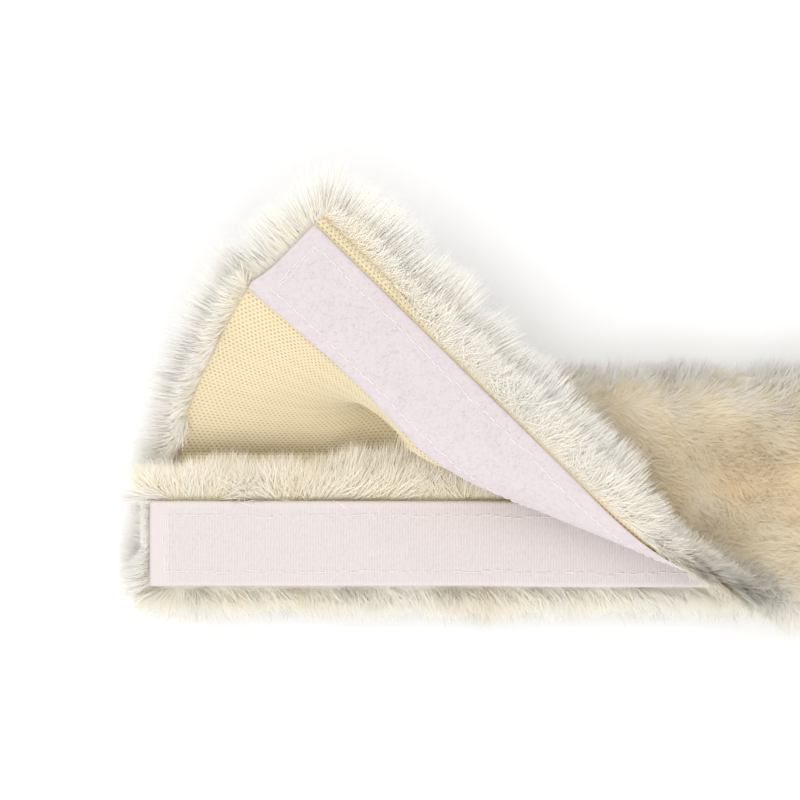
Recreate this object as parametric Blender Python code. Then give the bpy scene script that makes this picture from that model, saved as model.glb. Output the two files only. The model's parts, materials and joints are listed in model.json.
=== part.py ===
"""Synthetic sheepskin girth sleeve: a pile fabric panel folded into a flat tube, its closure peeled open at one end."""

import math

import bpy
from mathutils import Matrix, Vector

# Driving dimensions, in metres. X runs along the sleeve from its peeled end, Y runs across it
# from the bottom fold to the top fold, and Z is the height above the table.
LENGTH = 0.600
FLAT_WIDTH = 0.08965  # across the knit, from the bottom fold to the top fold
PILE = 0.0120  # laid pile, as a plain layer
KNIT = 0.0012
CAVITY = 0.0090  # room for the girth between the back and the lap
TAPE = 0.0010
TAPE_WIDTH = 0.0380
THREAD = 0.0004
THREAD_WIDTH = 0.0010
STITCH_INSET = 0.0065  # from a tape's edge to its row of stitches
GAP = 0.0003  # between neighbours that touch
CLOSURE_GAP = 0.0004  # between the two rows of thread when the closure is shut
SHEARED_PILE = 0.0020  # pile left under the hook tape
LAP_HEIGHT = 0.0440  # from the bottom fold to the lap's free edge
LAP_FRINGE = 0.0180  # pile that reaches past the lap's free edge
LAP_FRINGE_DEPTH = 0.0034
HOOK_TAPE_LOW = 0.0025
LOOP_TAPE_LOW = 0.0018
FREE_EDGE = -0.0035  # the front's free edge lies a little below the bottom fold
FRINGE = 0.0120  # pile past the free edge
END_FRINGE = 0.0100  # pile past each end
EDGE_BEAD = 0.0011  # width of the overlocked edge
FRONT_START = 0.0100  # the front's end stands back from the lap's
ROLL_RADIUS = 0.0180  # the peeled flap turns back over its own pile
PEEL_FOOT = (0.2380, LOOP_TAPE_LOW)  # where the peel fold reaches the closure
PEEL_ANGLE = math.radians(22.2)  # between the peel fold and the sleeve
ROLL_LENGTH = 0.1370  # straight stretch of the roll, from the peel foot
ROLL_SPREAD = math.radians(60)  # half the angle that the roll's own solid covers
ARC_STEPS = 16

# Heights of the layers, from the table up.
BACK_KNIT_Z = PILE + GAP
LAP_KNIT_Z = BACK_KNIT_Z + KNIT + CAVITY
LAP_PILE_Z = LAP_KNIT_Z + KNIT + GAP
HOOK_TAPE_Z = LAP_PILE_Z + SHEARED_PILE + GAP
HOOK_THREAD_Z = HOOK_TAPE_Z + TAPE + GAP
LOOP_THREAD_Z = HOOK_THREAD_Z + THREAD + CLOSURE_GAP
LOOP_TAPE_Z = LOOP_THREAD_Z + THREAD + GAP
FRONT_KNIT_Z = LOOP_TAPE_Z + TAPE + GAP
FRONT_PILE_Z = FRONT_KNIT_Z + KNIT + GAP

# The roll takes up a strip of the front, half to each side of the peel fold. It turns a quarter turn on the
# sleeve, and the flap turns a quarter turn on the roll, so that both come to lie in the front's plane.
ROLL_HALF = math.pi / 2 * ROLL_RADIUS
HINGE_OUT = ROLL_HALF / 2
HINGE_Z = FRONT_KNIT_Z + ROLL_RADIUS - ROLL_HALF / 2

# The two folds, as half rings seen along X.
BOTTOM_RADIUS = (LAP_KNIT_Z + KNIT - BACK_KNIT_Z) / 2
BOTTOM_CENTRE = (BOTTOM_RADIUS, BACK_KNIT_Z + BOTTOM_RADIUS)
TOP_RADIUS = (FRONT_KNIT_Z + KNIT - BACK_KNIT_Z) / 2
TOP_CENTRE = (FLAT_WIDTH - TOP_RADIUS, BACK_KNIT_Z + TOP_RADIUS)
FOLD_FLEECE_TOP = HOOK_TAPE_Z + 0.0007

# The peel fold in plan: a point on it, its direction to the right, and its side towards the closed front.
FOLD_ALONG = Vector((math.cos(PEEL_ANGLE), -math.sin(PEEL_ANGLE)))
FOLD_SIDE = Vector((math.sin(PEEL_ANGLE), math.cos(PEEL_ANGLE)))


def material(name, colour, roughness):
    made = bpy.data.materials.new(name)
    made.use_nodes = True
    shader = made.node_tree.nodes["Principled BSDF"]
    shader.inputs["Base Color"].default_value = (*colour, 1.0)
    shader.inputs["Roughness"].default_value = roughness
    shader.inputs["Metallic"].default_value = 0.0
    return made


def clear_scene():
    for obj in list(bpy.data.objects):
        bpy.data.objects.remove(obj, do_unlink=True)


def outline_object(name, outline, thickness, look):
    """A flat outline in its own XY plane, thickened evenly to both sides."""
    curve = bpy.data.curves.new(name, "CURVE")
    curve.dimensions = "2D"
    curve.fill_mode = "BOTH"
    curve.extrude = thickness / 2
    spline = curve.splines.new("POLY")
    spline.points.add(len(outline) - 1)
    for point, place in zip(spline.points, outline):
        point.co = (place[0], place[1], 0.0, 1.0)
    spline.use_cyclic_u = True
    curve.materials.append(look)
    made = bpy.data.objects.new(name, curve)
    parts.objects.link(made)
    return made


def slab(name, outline, low, thickness, look):
    """A layer lying flat, from the height low up."""
    made = outline_object(name, outline, thickness, look)
    made.location = (-CENTRE[0], -CENTRE[1], low + thickness / 2)
    return made


def length_of_section(name, section, start, end, look):
    """A cross-section in the YZ plane, drawn out along X."""
    made = outline_object(name, section, end - start, look)
    made.rotation_euler = (math.pi / 2, 0.0, math.pi / 2)
    made.location = ((start + end) / 2 - CENTRE[0], -CENTRE[1], 0.0)
    return made


def rectangle(left, right, low, high):
    return [(left, low), (right, low), (right, high), (left, high)]


def beyond_fold(outline, side):
    """The part of a plan outline on one side of the roll's strip: 1 for the closed front, -1 for the flap."""

    def reach(place):
        return side * (Vector(place) - Vector(PEEL_FOOT)).dot(FOLD_SIDE) - ROLL_HALF - GAP

    kept = []
    for here, after in zip(outline, outline[1:] + outline[:1]):
        if reach(here) >= 0:
            kept.append(here)
        if (reach(here) >= 0) != (reach(after) >= 0):
            share = reach(here) / (reach(here) - reach(after))
            kept.append(tuple(Vector(here).lerp(Vector(after), share)))
    return kept


def arc(centre, radius, start, end, steps=ARC_STEPS):
    """Points on an arc, by angle from +Y towards +Z."""
    turns = [start + (end - start) * i / steps for i in range(steps + 1)]
    return [(centre[0] + radius * math.cos(t), centre[1] + radius * math.sin(t)) for t in turns]


def turned_back(place):
    """Where a point of the closed flap lies in plan once the flap is turned over about the peel fold."""
    offset = Vector(place) - Vector(PEEL_FOOT)
    return Vector(PEEL_FOOT) + 2 * offset.dot(FOLD_ALONG) * FOLD_ALONG - offset


def row(low, left, right):
    """The outline of one straight row of thread."""
    return rectangle(left, right, low, low + THREAD_WIDTH)


def add_back():
    low, high = BOTTOM_CENTRE[0] + GAP / 2, TOP_CENTRE[0] - GAP / 2
    slab("back_knit", rectangle(0, LENGTH, low, high), BACK_KNIT_Z, KNIT, knit)
    slab("back_fleece", rectangle(-END_FRINGE, LENGTH + END_FRINGE, low, high), 0.0, PILE, fleece)


def half_ring(centre, inner, outer, start, end):
    return arc(centre, outer, start, end) + arc(centre, inner, end, start)


def add_top_fold():
    centre = (TOP_CENTRE[0] + GAP / 2, TOP_CENTRE[1])
    start = roll_reach(TOP_CENTRE[0]) + GAP
    quarter = math.pi / 2
    ring = half_ring(centre, TOP_RADIUS - KNIT, TOP_RADIUS, -quarter, quarter)
    length_of_section("top_fold_knit", ring, start, LENGTH, knit)
    ring = half_ring(centre, TOP_RADIUS + GAP, TOP_RADIUS + GAP + PILE, -quarter, quarter)
    length_of_section("top_fold_fleece", ring, start, LENGTH + END_FRINGE, fleece)


def add_bottom_fold():
    centre = (BOTTOM_CENTRE[0] - GAP / 2, BOTTOM_CENTRE[1])
    top, bottom = math.pi / 2, 3 * math.pi / 2
    ring = half_ring(centre, BOTTOM_RADIUS - KNIT, BOTTOM_RADIUS, top, bottom)
    length_of_section("bottom_fold_knit", ring, 0.0, LENGTH, knit)
    inner, outer = BOTTOM_RADIUS + GAP, BOTTOM_RADIUS + GAP + PILE
    shoulder = math.pi - math.asin((FOLD_FLEECE_TOP - centre[1]) / outer)
    tape_side = HOOK_TAPE_LOW - GAP
    section = arc(centre, outer, bottom, shoulder)
    section += [(tape_side, FOLD_FLEECE_TOP), (tape_side, LAP_PILE_Z + SHEARED_PILE)]
    section += [(centre[0], LAP_PILE_Z + SHEARED_PILE)]
    section += arc(centre, inner, top, bottom)
    length_of_section("bottom_fold_fleece", section, -END_FRINGE, LENGTH + END_FRINGE, fleece)


def add_lap():
    low = BOTTOM_CENTRE[0] + GAP / 2
    slab("lap_knit", rectangle(0, LENGTH, low, LAP_HEIGHT), LAP_KNIT_Z, KNIT, knit)
    bead = rectangle(0, LENGTH, LAP_HEIGHT + GAP, LAP_HEIGHT + GAP + EDGE_BEAD)
    slab("lap_edge_stitch", bead, LAP_KNIT_Z, KNIT, edge_thread)
    tape_high = HOOK_TAPE_LOW + TAPE_WIDTH + GAP
    sheared, standing = LAP_PILE_Z + SHEARED_PILE, LAP_PILE_Z + LAP_FRINGE_DEPTH
    end = LAP_HEIGHT + LAP_FRINGE
    section = [(low, LAP_PILE_Z), (end, LAP_PILE_Z), (end, standing)]
    section += [(tape_high, standing), (tape_high, sheared), (low, sheared)]
    length_of_section("lap_fleece", section, -END_FRINGE, LENGTH + END_FRINGE, fleece)


def add_hook_tape():
    low, high = HOOK_TAPE_LOW, HOOK_TAPE_LOW + TAPE_WIDTH
    slab("hook_tape", rectangle(0, LENGTH, low, high), HOOK_TAPE_Z, TAPE, tape)
    left, right = STITCH_INSET, LENGTH - STITCH_INSET
    lower, upper = low + STITCH_INSET, high - STITCH_INSET - THREAD_WIDTH
    slab("hook_stitch_lower", row(lower, left, right), HOOK_THREAD_Z, THREAD, thread)
    slab("hook_stitch_upper", row(upper, left, right), HOOK_THREAD_Z, THREAD, thread)
    between = (lower + THREAD_WIDTH + GAP, upper - GAP)
    near = rectangle(left, left + THREAD_WIDTH, *between)
    far = rectangle(right - THREAD_WIDTH, right, *between)
    slab("hook_stitch_left", near, HOOK_THREAD_Z, THREAD, thread)
    slab("hook_stitch_right", far, HOOK_THREAD_Z, THREAD, thread)


def add_front(prefix, side):
    """The front's layers on one side of the peel fold. The flap is made closed, and turned back afterwards."""
    reach = LENGTH + END_FRINGE
    start = FRONT_START
    layer = rectangle(start, LENGTH, FREE_EDGE, TOP_CENTRE[0] - GAP / 2)
    pile = rectangle(start - END_FRINGE, reach, FREE_EDGE - FRINGE, TOP_CENTRE[0] - GAP / 2)
    bead = rectangle(start, LENGTH, FREE_EDGE - GAP - EDGE_BEAD, FREE_EDGE - GAP)
    low, high = LOOP_TAPE_LOW, LOOP_TAPE_LOW + TAPE_WIDTH
    left, right = start + STITCH_INSET, LENGTH - STITCH_INSET
    lower, upper = low + STITCH_INSET, high - STITCH_INSET - THREAD_WIDTH
    between = (lower + THREAD_WIDTH + GAP, upper - GAP)
    end = (left, left + THREAD_WIDTH) if side < 0 else (right - THREAD_WIDTH, right)
    plan = {
        "knit": (layer, FRONT_KNIT_Z, KNIT, knit),
        "fleece": (pile, FRONT_PILE_Z, PILE, fleece),
        "edge_stitch": (bead, FRONT_KNIT_Z, KNIT, edge_thread),
        "loop_tape": (rectangle(start, LENGTH, low, high), LOOP_TAPE_Z, TAPE, tape),
        "loop_stitch_lower": (row(lower, left, right), LOOP_THREAD_Z, THREAD, thread),
        "loop_stitch_upper": (row(upper, left, right), LOOP_THREAD_Z, THREAD, thread),
        "loop_stitch_end": (rectangle(*end, *between), LOOP_THREAD_Z, THREAD, thread),
    }
    return [
        slab(prefix + name, beyond_fold(outline, side), height, thickness, look)
        for name, (outline, height, thickness, look) in plan.items()
    ]


def roll_reach(across):
    """X at which the closed front begins, right of the roll, at a place across the sleeve."""
    return PEEL_FOOT[0] + (ROLL_HALF - (across - PEEL_FOOT[1]) * FOLD_SIDE.y) / FOLD_SIDE.x


def add_roll():
    """The roll's straight stretch, as it lies when the flap is closed: a shallow trough over the peel fold."""
    centre = (0.0, FRONT_KNIT_Z + ROLL_RADIUS)
    start, end = -math.pi / 2 - ROLL_SPREAD, -math.pi / 2 + ROLL_SPREAD
    pile_radius = ROLL_RADIUS - KNIT - GAP
    rings = {
        "roll_knit": (half_ring(centre, ROLL_RADIUS - KNIT, ROLL_RADIUS, start, end), knit),
        "roll_fleece": (half_ring(centre, pile_radius - PILE, pile_radius, start, end), fleece),
    }
    middle = Vector(PEEL_FOOT) - FOLD_ALONG * ROLL_LENGTH / 2 - Vector(CENTRE)
    pieces = []
    for name, (section, look) in rings.items():
        piece = outline_object(name, section, ROLL_LENGTH, look)
        piece.rotation_euler = (math.pi / 2, 0.0, math.pi / 2 - PEEL_ANGLE)
        piece.location = (*middle, 0.0)
        pieces.append(piece)
    return pieces


def add_hinge(name, side):
    """An empty on a hinge line beside the peel fold, as it lies when the flap is closed, with X along the line."""
    hinge = bpy.data.objects.new(name, None)
    parts.objects.link(hinge)
    place = Vector(PEEL_FOOT) + side * HINGE_OUT * FOLD_SIDE - Vector(CENTRE)
    hinge.matrix_world = Matrix.Translation((*place, HINGE_Z)) @ Matrix.Rotation(-PEEL_ANGLE, 4, "Z")
    return hinge


def hang(pieces, hinge):
    for piece in pieces:
        piece.parent = hinge
        piece.matrix_parent_inverse = hinge.matrix_world.inverted()


def turn_open(hinge):
    hinge.matrix_basis = hinge.matrix_basis @ Matrix.Rotation(-math.pi / 2, 4, "X")


def plan_centre():
    """The middle of the whole object in plan, with the flap turned back."""
    corner = turned_back((FRONT_START - END_FRINGE, FREE_EDGE - FRINGE))
    return (LENGTH / 2, (corner.y + FREE_EDGE - FRINGE) / 2)


clear_scene()
parts = bpy.data.collections.new("girth_sleeve")
bpy.context.scene.collection.children.link(parts)
fleece = material("fleece", (0.80, 0.74, 0.58), 0.95)
knit = material("knit", (0.84, 0.70, 0.36), 0.85)
tape = material("tape", (0.80, 0.74, 0.74), 0.70)
thread = material("thread", (0.90, 0.87, 0.86), 0.60)
edge_thread = material("edge_thread", (0.45, 0.45, 0.47), 0.65)
CENTRE = plan_centre()
add_back()
add_top_fold()
add_bottom_fold()
add_lap()
add_hook_tape()
add_front("front_", 1)
roll_hinge = add_hinge("flap_roll", 1)
turn_hinge = add_hinge("flap_turn", -1)
hang(add_roll(), roll_hinge)
hang(add_front("flap_", -1), turn_hinge)
hang([turn_hinge], roll_hinge)
turn_open(roll_hinge)
turn_open(turn_hinge)
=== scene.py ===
"""Looks of the fleece girth sleeve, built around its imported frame.

One folded panel of pile fabric, its two tapes, their thread and its pile. Lengths are in metres.
"""

import json
import math

import bpy
import numpy as np
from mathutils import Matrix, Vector


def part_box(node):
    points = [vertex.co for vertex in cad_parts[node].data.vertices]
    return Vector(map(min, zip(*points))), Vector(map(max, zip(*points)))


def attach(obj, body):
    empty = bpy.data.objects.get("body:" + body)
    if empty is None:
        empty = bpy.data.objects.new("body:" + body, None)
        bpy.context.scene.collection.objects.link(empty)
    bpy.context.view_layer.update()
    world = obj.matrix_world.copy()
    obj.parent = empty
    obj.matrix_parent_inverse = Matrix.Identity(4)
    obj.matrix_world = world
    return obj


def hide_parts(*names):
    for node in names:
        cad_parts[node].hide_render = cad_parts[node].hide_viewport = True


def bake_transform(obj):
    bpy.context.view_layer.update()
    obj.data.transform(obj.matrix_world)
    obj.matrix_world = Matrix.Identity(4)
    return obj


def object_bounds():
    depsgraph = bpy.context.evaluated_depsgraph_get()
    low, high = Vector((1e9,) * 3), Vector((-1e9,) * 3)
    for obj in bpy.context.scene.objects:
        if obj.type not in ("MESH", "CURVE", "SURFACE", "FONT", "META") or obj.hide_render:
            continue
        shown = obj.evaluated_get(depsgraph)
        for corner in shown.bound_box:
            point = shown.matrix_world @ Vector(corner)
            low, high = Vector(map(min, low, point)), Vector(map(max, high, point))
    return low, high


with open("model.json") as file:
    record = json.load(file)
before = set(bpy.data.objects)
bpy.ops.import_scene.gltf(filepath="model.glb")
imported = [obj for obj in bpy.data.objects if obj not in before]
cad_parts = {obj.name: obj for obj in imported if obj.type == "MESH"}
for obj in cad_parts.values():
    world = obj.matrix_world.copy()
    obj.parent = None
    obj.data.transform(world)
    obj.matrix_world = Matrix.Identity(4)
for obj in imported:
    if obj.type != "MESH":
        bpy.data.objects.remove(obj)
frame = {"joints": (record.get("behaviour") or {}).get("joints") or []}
CAD_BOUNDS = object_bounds()
MM = 0.001

# ---- the frame's own places
BACK, FRONT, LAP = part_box("back_knit"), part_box("front_knit"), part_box("lap_knit")
X_START, X_END = BACK[0].x, BACK[1].x
Y_BOTTOM, Y_TOP = BACK[0].y, BACK[1].y
Z_BACK = (BACK[0].z + BACK[1].z) / 2
Z_FRONT = (FRONT[0].z + FRONT[1].z) / 2
Z_LAP = (LAP[0].z + LAP[1].z) / 2
FREE_EDGE = FRONT[0].y
LAP_EDGE = LAP[1].y
TOP_R = (Z_FRONT - Z_BACK) / 2
BOTTOM_R = (Z_LAP - Z_BACK) / 2
KNIT = BACK[1].z - BACK[0].z
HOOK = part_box("hook_tape")
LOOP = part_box("front_loop_tape")

# The panel's own coordinates: x along the sleeve, and v across the flat panel. On the front v is y, and it
# goes on round the top fold, down the back, round the bottom fold and up the lap.
V_TOP = Y_TOP
V_BACK = V_TOP + math.pi * TOP_R
V_BOTTOM = V_BACK + Y_TOP - Y_BOTTOM
V_LAP = V_BOTTOM + math.pi * BOTTOM_R
V_END = V_LAP + LAP_EDGE - Y_BOTTOM

# The roll between the closed front and the turned flap.
JOINTS = {j["name"]: j for j in frame["joints"]}
LOW_HINGE = np.array(JOINTS["flap_roll"]["pos_m"])
HIGH_HINGE = np.array(JOINTS["flap_turn"]["pos_m"])
ALONG = np.array(JOINTS["flap_roll"]["axis"])
SIDE = np.array([-ALONG[1], ALONG[0], 0.0])
STRIP = HIGH_HINGE[2] - LOW_HINGE[2]
FOOT = LOW_HINGE - SIDE * STRIP / 2
ROLL_Z = FRONT[0].z + STRIP * 2 / math.pi
ROLL_R = ROLL_Z - Z_FRONT
Z_FLAP = ROLL_Z + ROLL_R
END_STEP = 10 * MM  # how far the front's end stands back from the lap's
LOW_BLEND = Z_FRONT + 0.6 * MM  # what is rooted lower lies on the sleeve
HIGH_BLEND = Z_FLAP - 0.6 * MM  # what is rooted higher lies on the flap


# ---- helpers
def smooth(low, high, value):
    t = np.clip((value - low) / (high - low), 0.0, 1.0)
    return t * t * (3 - 2 * t)


def unit(vectors):
    return vectors / np.maximum(np.linalg.norm(vectors, axis=-1, keepdims=True), 1e-12)


class Noise:
    """Smooth random values over a plane, from -1 to 1, with features of about one pitch."""

    def __init__(self, seed, pitch):
        self.table = np.random.default_rng(seed).uniform(-1, 1, (256, 256))
        self.pitch = pitch

    def __call__(self, x, v):
        a, b = x / self.pitch + 91.7, v / self.pitch + 47.3  # off the table's corner
        i, j = np.floor(a).astype(int), np.floor(b).astype(int)
        s, t = a - i, b - j
        s, t = s * s * (3 - 2 * s), t * t * (3 - 2 * t)
        i, j = i % 255, j % 255
        grid = self.table
        low = grid[i, j] * (1 - s) + grid[i + 1, j] * s
        high = grid[i, j + 1] * (1 - s) + grid[i + 1, j + 1] * s
        return low * (1 - t) + high * t


def mesh_object(name, points, quads, tris=None, uv=None, normals=None):
    """A mesh from arrays. uv and normals are given per point."""
    tris = np.zeros((0, 3), int) if tris is None else tris
    loops = np.concatenate([quads.ravel(), tris.ravel()]).astype(np.int32)
    sizes = np.concatenate([np.full(len(quads), 4), np.full(len(tris), 3)]).astype(np.int32)
    starts = np.concatenate([[0], np.cumsum(sizes)[:-1]]).astype(np.int32)
    mesh = bpy.data.meshes.new(name)
    mesh.vertices.add(len(points))
    mesh.vertices.foreach_set("co", np.asarray(points, np.float32).ravel())
    mesh.loops.add(len(loops))
    mesh.loops.foreach_set("vertex_index", loops)
    mesh.polygons.add(len(sizes))
    mesh.polygons.foreach_set("loop_start", starts)
    mesh.polygons.foreach_set("loop_total", sizes)
    mesh.update(calc_edges=True)
    if uv is not None:
        layer = mesh.uv_layers.new(name="OFBake")
        layer.data.foreach_set("uv", np.asarray(uv, np.float32)[loops].ravel())
    mesh.shade_smooth()
    if normals is not None:
        mesh.normals_split_custom_set_from_vertices(np.asarray(normals, np.float32))
    made = bpy.data.objects.new(name, mesh)
    bpy.context.scene.collection.objects.link(made)
    return made


def grid_quads(rows, columns, wrap=False):
    """Quads of a grid of points, rows by columns, that closes on itself across its columns if it wraps."""
    index = np.arange(rows * columns).reshape(rows, columns)
    across = np.roll(index, -1, axis=1) if wrap else index[:, 1:]
    here = index if wrap else index[:, :-1]
    quads = np.stack([here[:-1], here[1:], across[1:], across[:-1]], axis=-1)
    return quads.reshape(-1, 4)


# ---- the panel's surface
def closed_section(v):
    """(y, z) of the closed sleeve's section at v."""
    y, z = v.copy(), np.full_like(v, Z_FRONT)
    turn = np.clip((v - V_TOP) / TOP_R, 0, math.pi)
    on = v > V_TOP
    y[on] = (Y_TOP + TOP_R * np.sin(turn))[on]
    z[on] = (Z_BACK + TOP_R + TOP_R * np.cos(turn))[on]
    on = v > V_BACK
    y[on] = (Y_TOP - (v - V_BACK))[on]
    z[on] = Z_BACK
    turn = np.clip((v - V_BOTTOM) / BOTTOM_R, 0, math.pi)
    on = v > V_BOTTOM
    y[on] = (Y_BOTTOM - BOTTOM_R * np.sin(turn))[on]
    z[on] = (Z_BACK + BOTTOM_R - BOTTOM_R * np.cos(turn))[on]
    on = v > V_LAP
    y[on] = (Y_BOTTOM + v - V_LAP)[on]
    z[on] = Z_LAP
    return y, z


def stepped(x, v):
    """Where a point of the panel comes to lie along the sleeve: the front's end stands back."""
    front = 1 - smooth(V_BACK + 20 * MM, V_BACK + 75 * MM, v)
    return x + END_STEP * front * (1 - smooth(0.0, 220 * MM, x - X_START))


ROLL_SHRINK = 0.72  # the roll is that much tighter where it runs out into the opened end


def rolled(x, v):
    """The front's plane rolled back about the peel fold, and how far each point is past the fold."""
    out = (x - FOOT[0]) * SIDE[0] + (v - FOOT[1]) * SIDE[1]
    along = (x - FOOT[0]) * ALONG[0] + (v - FOOT[1]) * ALONG[1]
    radius = ROLL_R * (1 - ROLL_SHRINK * smooth(0.0, 70 * MM, along))
    half = math.pi / 2 * radius
    turn = np.clip((half - out) / radius, 0, math.pi)
    away = np.where(out > half, out, np.where(out < -half, -out, half - radius * np.sin(turn)))
    height = Z_FRONT + radius - radius * np.cos(turn)
    place = FOOT[:2] + along[..., None] * ALONG[:2] + away[..., None] * SIDE[:2]
    return np.concatenate([place, height[..., None]], axis=-1), out


GRID = 2.5 * MM
XS_GRID = np.arange(X_START, X_END + GRID, GRID)
VS_GRID = np.arange(FREE_EDGE, V_END + GRID, GRID)
# Links of the cloth, as steps across the grid and a stiffness: the short ones stretch, the long ones bend.
LINKS = (
    (1, 0, 1.0), (0, 1, 1.0), (1, 1, 0.6), (1, -1, 0.6),
    (2, 0, 0.5), (0, 2, 0.5), (4, 0, 0.5), (0, 4, 0.5),
    (4, 4, 0.3), (4, -4, 0.3), (7, 0, 0.3), (0, 7, 0.3),
)
OVERSHOOT = 1.6
RELAX_ROUNDS, CALM_ROUNDS = 1500, 500


def relax(place, free, rounds):
    """Pulls the links of a grid of cloth back to their flat lengths wherever the cloth is free."""
    rows, columns = place.shape[:2]
    for _ in range(rounds):
        push = np.zeros_like(place)
        weight = np.full((rows, columns, 1), 1e-9)
        for di, dj, stiff in LINKS:
            j_low, j_high = max(0, -dj), columns - max(0, dj)
            a = (slice(0, rows - di), slice(j_low, j_high))
            b = (slice(di, rows), slice(j_low + dj, j_high + dj))
            gap = place[b] - place[a]
            length = np.linalg.norm(gap, axis=-1, keepdims=True)
            pull = gap * (0.5 * stiff * (1 - GRID * math.hypot(di, dj) / length))
            push[a] += pull
            push[b] -= pull
            weight[a] += stiff
            weight[b] += stiff
        place = place + free * push * (OVERSHOOT * 2 / weight)
        place[..., 2] = np.maximum(place[..., 2], Z_BACK)
    return place


def calm(place, free, rounds):
    """Smooths the free cloth near the opened end, where it lies without a fold."""
    for _ in range(rounds):
        padded = np.pad(place, ((1, 1), (1, 1), (0, 0)), mode="edge")
        padded[0] = 2 * padded[1] - padded[2]
        middle = (padded[2:, 1:-1] + padded[:-2, 1:-1] + padded[1:-1, 2:] + padded[1:-1, :-2]) / 4
        place = place + free * (middle - place)
    return place


def panel_grid():
    """The whole panel's mid surface at rest, on a grid in its own coordinates."""
    x, v = np.meshgrid(XS_GRID, VS_GRID, indexing="ij")
    x = stepped(x, v)
    y, z = closed_section(v)
    closed = np.stack([x, y, z], axis=-1)
    peeled, out = rolled(x, v)
    flat_back = np.stack([x, Y_TOP - (v - V_BACK), np.full_like(x, Z_BACK)], axis=-1)
    open_end = 1 - smooth(X_START + 62 * MM, X_START + 165 * MM, x)
    behind = closed * (1 - open_end[..., None]) + flat_back * open_end[..., None]
    start = V_TOP + (25 + 18 * open_end - 18) * MM
    width = (25 + 55 * open_end) * MM
    front = 1 - smooth(0.0, 1.0, (v - start + width) / width)
    front = np.where(v <= V_TOP - 60 * MM, 1.0, front)
    place = behind * (1 - front[..., None]) + peeled * front[..., None]
    place = np.where((v < V_TOP)[..., None] & (out > ROLL_R * 1.6)[..., None], closed, place)
    place = np.where((v > V_BACK + 60 * MM)[..., None], closed, place)

    # Only the cloth between the roll and the back settles, near the opened end.
    held = (v < 42 * MM + FREE_EDGE) | (v > V_BACK + 18 * MM) | (x > X_START + 175 * MM)
    held |= (out > ROLL_R * 1.6) & (v < V_TOP)
    held |= (v < V_TOP - 12 * MM) & (x > X_START + 110 * MM)
    free = (~held).astype(float)[..., None]
    reach = int(200 * MM / GRID)
    deep = int((V_BACK + 40 * MM - FREE_EDGE) / GRID)
    part = relax(place[:reach, :deep], free[:reach, :deep], RELAX_ROUNDS)
    flat = 1 - smooth(X_START + 60 * MM, X_START + 110 * MM, x)[:reach, :deep, None]
    part = calm(part, free[:reach, :deep] * flat, CALM_ROUNDS)
    place[:reach, :deep] = part
    return place


PLACES = panel_grid()


def grid_normals(place):
    along_x = np.gradient(place, axis=0)
    along_v = np.gradient(place, axis=1)
    return unit(np.cross(along_x, along_v))


NORMALS = grid_normals(PLACES)


def cubic(t):
    """Catmull-Rom weights."""
    return [
        ((-t + 2) * t - 1) * t / 2,
        (((3 * t - 5) * t) * t + 2) / 2,
        ((-3 * t + 4) * t + 1) * t / 2,
        ((t - 1) * t * t) / 2,
    ]


def sample(table, x, v):
    """Values of a table over the grid at (x, v), by cubic interpolation."""
    a = np.clip((x - XS_GRID[0]) / GRID, 0, len(XS_GRID) - 1.001)
    b = np.clip((v - VS_GRID[0]) / GRID, 0, len(VS_GRID) - 1.001)
    i, j = np.floor(a).astype(int), np.floor(b).astype(int)
    wi, wj = cubic(a - i), cubic(b - j)
    found = 0
    for di in range(4):
        row = np.clip(i + di - 1, 0, len(XS_GRID) - 1)
        for dj in range(4):
            column = np.clip(j + dj - 1, 0, len(VS_GRID) - 1)
            found = found + table[row, column] * (wi[di] * wj[dj])[..., None]
    return found


def surface(x, v, lift=0.0):
    """(places, normals) of the panel, raised by lift towards its pile side."""
    normal = unit(sample(NORMALS, x, v))
    return sample(PLACES, x, v) + normal * np.asarray(lift)[..., None], normal


# ---- materials
def plain_material(name, colour, roughness):
    material = bpy.data.materials.new(name)
    material.use_nodes = True
    shader = material.node_tree.nodes["Principled BSDF"]
    shader.inputs["Base Color"].default_value = (*colour, 1)
    shader.inputs["Roughness"].default_value = roughness
    return material


def ramp(tree, share, stops):
    made = tree.nodes.new("ShaderNodeValToRGB")
    elements = made.color_ramp.elements
    while len(elements) < len(stops):
        elements.new(0.5)
    for element, (place, colour) in zip(elements, stops):
        element.position = place
        element.color = (*colour, 1)
    tree.links.new(share, made.inputs["Fac"])
    return made.outputs["Color"]


FLEECE_ROOT = (0.90, 0.78, 0.55)
FLEECE_MID = (0.955, 0.91, 0.80)
FLEECE_TIP = (0.975, 0.97, 0.955)
FLEECE_THIN = 0.25  # share of light that a strand lets through
# Strand tints by UV u, from ochre to a light grey. The ochre end also paints shade in the creases and
# partings, and the grey end paints shade on the outline fringes and the top fold.
FLEECE_TINTS_AND_SHADE = [
    (0.0, (0.98, 0.83, 0.58)),
    (0.4, (0.99, 0.92, 0.77)),
    (0.75, (0.985, 0.965, 0.92)),
    (1.0, (0.88, 0.87, 0.85)),
]


PANEL_UV = 0.65  # metres of panel across the UV square
KNIT_PITCH_X, KNIT_PITCH_V = 2.4 * MM, 1.6 * MM
KNIT_HOLE_X, KNIT_HOLE_V = 0.55 * MM, 0.24 * MM
HOOK_PITCH = 1.25 * MM


def math_node(tree, operation, first, second=None):
    made = tree.nodes.new("ShaderNodeMath")
    made.operation = operation
    for place, value in enumerate((first, second)):
        if value is None:
            continue
        if isinstance(value, (int, float)):
            made.inputs[place].default_value = value
        else:
            tree.links.new(value, made.inputs[place])
    return made.outputs[0]


def times(tree, first, second):
    return math_node(tree, "MULTIPLY", first, second)


def minus(tree, first, second):
    return math_node(tree, "SUBTRACT", first, second)


def uv_parts(tree):
    uv = tree.nodes.new("ShaderNodeUVMap")
    uv.uv_map = "OFBake"
    split = tree.nodes.new("ShaderNodeSeparateXYZ")
    tree.links.new(uv.outputs["UV"], split.inputs[0])
    return split.outputs["X"], split.outputs["Y"]


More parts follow.
